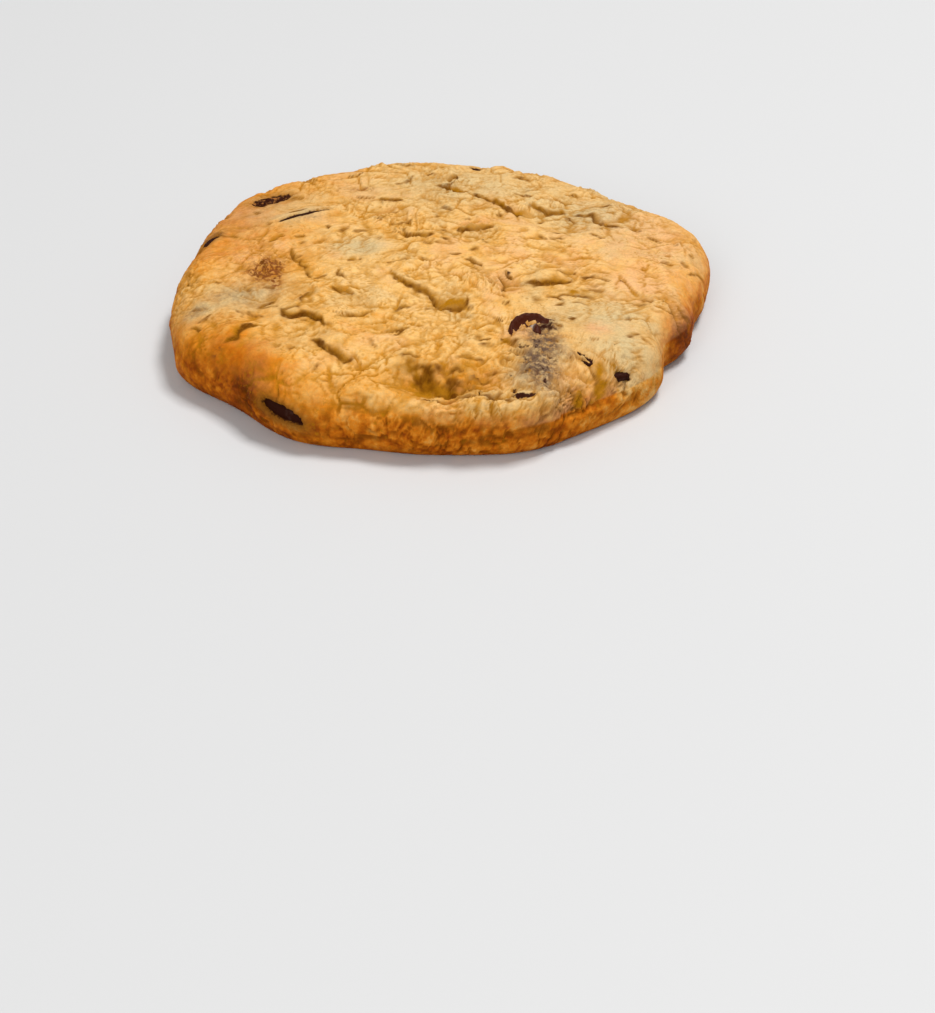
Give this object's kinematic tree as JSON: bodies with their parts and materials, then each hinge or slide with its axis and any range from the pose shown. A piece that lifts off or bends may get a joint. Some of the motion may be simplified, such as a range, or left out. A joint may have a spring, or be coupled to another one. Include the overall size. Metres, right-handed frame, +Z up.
{
  "type": "chocolate chip cookie",
  "caption": "Round, crackled biscuit with a domed, lumpy top, a browned lobed wall, a flat base and dark chocolate chips sunk in its skin.",
  "frame": {"origin": "on the base, below the middle of the cookie's bounding box", "axes": "+Z up through the thickness, -Y towards the front with the straight lip, +X to the right seen from the front"},
  "size_m": [0.0876, 0.0871, 0.0128],
  "materials": {
    "dough": "baked biscuit crumb, matt, golden with browner rim and cracks",
    "chocolate": "dark chocolate, half gloss, with a dusty bloom in places"
  },
  "bodies": {
    "root": {"dough": "dough", "chip_melted": "chocolate", "chip_slit": "chocolate", "chip_porous": "chocolate", "chip_rim": "chocolate", "chip_cleft": "chocolate", "chip_lens": "chocolate", "chip_back": "chocolate", "chip_front": "chocolate", "chip_right": "chocolate", "chip_base_left": "chocolate", "chip_base_right": "chocolate"}
  },
  "joints": []
}
